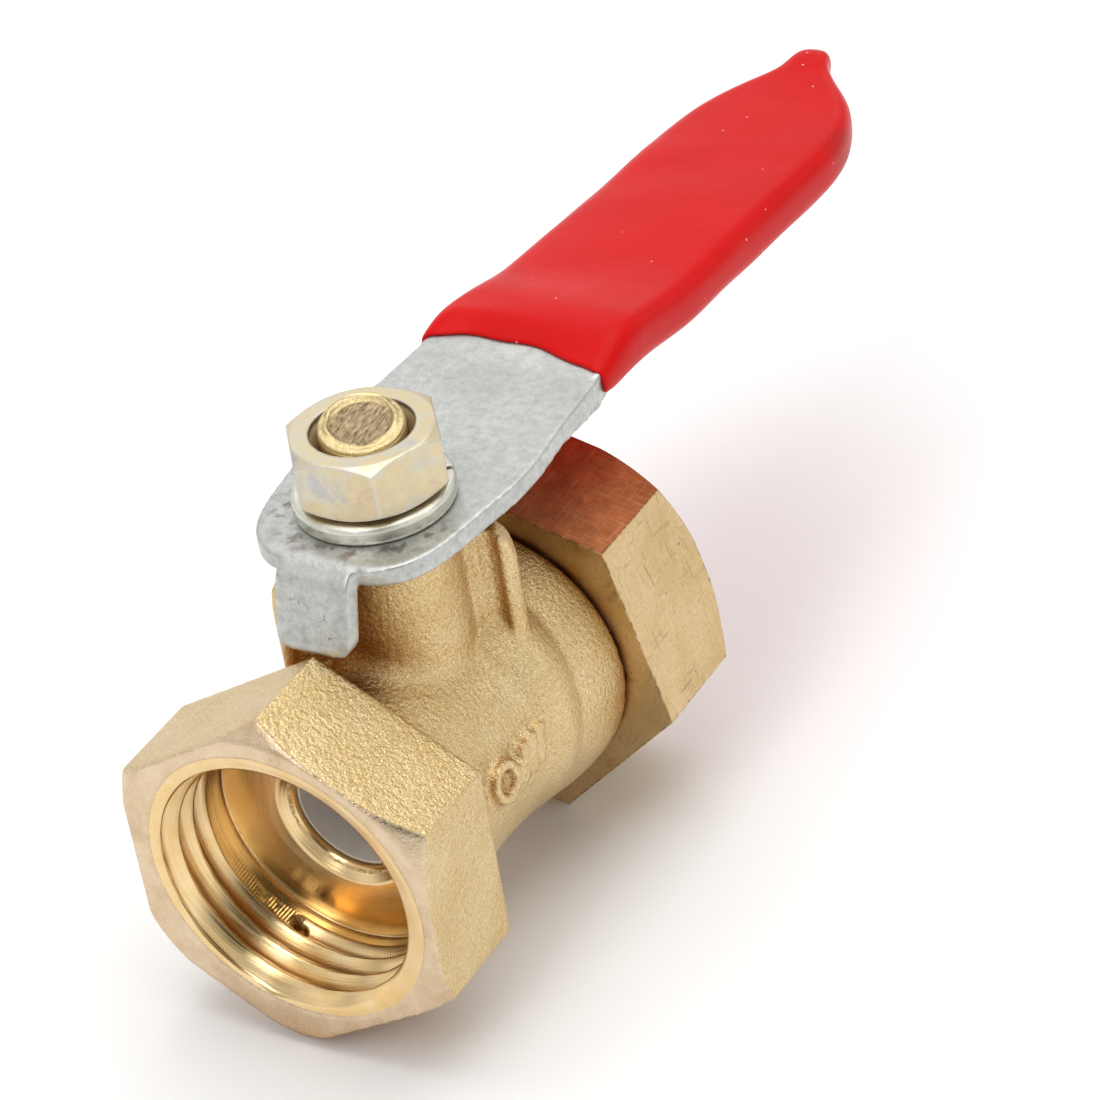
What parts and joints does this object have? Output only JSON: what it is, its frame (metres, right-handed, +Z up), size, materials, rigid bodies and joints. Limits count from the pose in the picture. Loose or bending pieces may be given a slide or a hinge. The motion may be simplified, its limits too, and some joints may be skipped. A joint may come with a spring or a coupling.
{
  "type": "ball valve",
  "caption": "Brass ball valve with hexagonal internally threaded ends; a steel lever in a red vinyl sleeve swings a quarter turn to open or shut the waterway",
  "frame": {"origin": "centre of the inlet mouth, on the pipe axis in the plane of the inlet face", "axes": "+Y runs along the pipe axis from the inlet to the outlet and the open lever points along it, +Z runs up the stem to the lever nut, +X is to the right seen from the inlet with the stem up"},
  "size_m": [0.0276, 0.0889, 0.0409],
  "materials": {
    "forged_brass": "shot-blasted forging, pale gold, fine grain",
    "machined_brass": "machined from hexagon bar, smooth with faint tool lines",
    "stem_brass": "turned, rough cut end",
    "chromed_ball": "chrome plated, matt in the bore",
    "seat_plastic": "white fluoropolymer, matt",
    "seal_rubber": "black nitrile rubber",
    "plated_steel": "bright zinc plate gone dull and mottled, sheared edges",
    "red_vinyl": "dip-coated soft vinyl, satin gloss",
    "washer_steel": "zinc plate with a pale yellow tint",
    "nut_steel": "yellow chromate over zinc, iridescent"
  },
  "bodies": {
    "valve_body": {"body": "forged_brass", "end_connector": "machined_brass", "inlet_seat": "seat_plastic", "outlet_seat": "seat_plastic"},
    "ball": {"ball": "chromed_ball"},
    "lever": {"stem": "stem_brass", "thrust_washer": "seat_plastic", "stem_o_ring_lower": "seal_rubber", "stem_o_ring_upper": "seal_rubber", "lever": "plated_steel", "lever_sleeve": "red_vinyl", "lock_washer": "washer_steel", "lever_nut": "nut_steel"}
  },
  "joints": [
    {"name": "lever_turn", "type": "hinge", "parent": "valve_body", "child": "lever", "pos_m": [0, 0.01837, 0], "axis": [0, 0, 1], "range_deg": [0, 90]},
    {"name": "ball_turn", "type": "hinge", "parent": "valve_body", "child": "ball", "pos_m": [0, 0.01837, 0], "axis": [0, 0, 1], "range_deg": [0, 90]}
  ],
  "couplings": [
    {"joint": "ball_turn", "follows": "lever_turn", "ratio": 1}
  ]
}
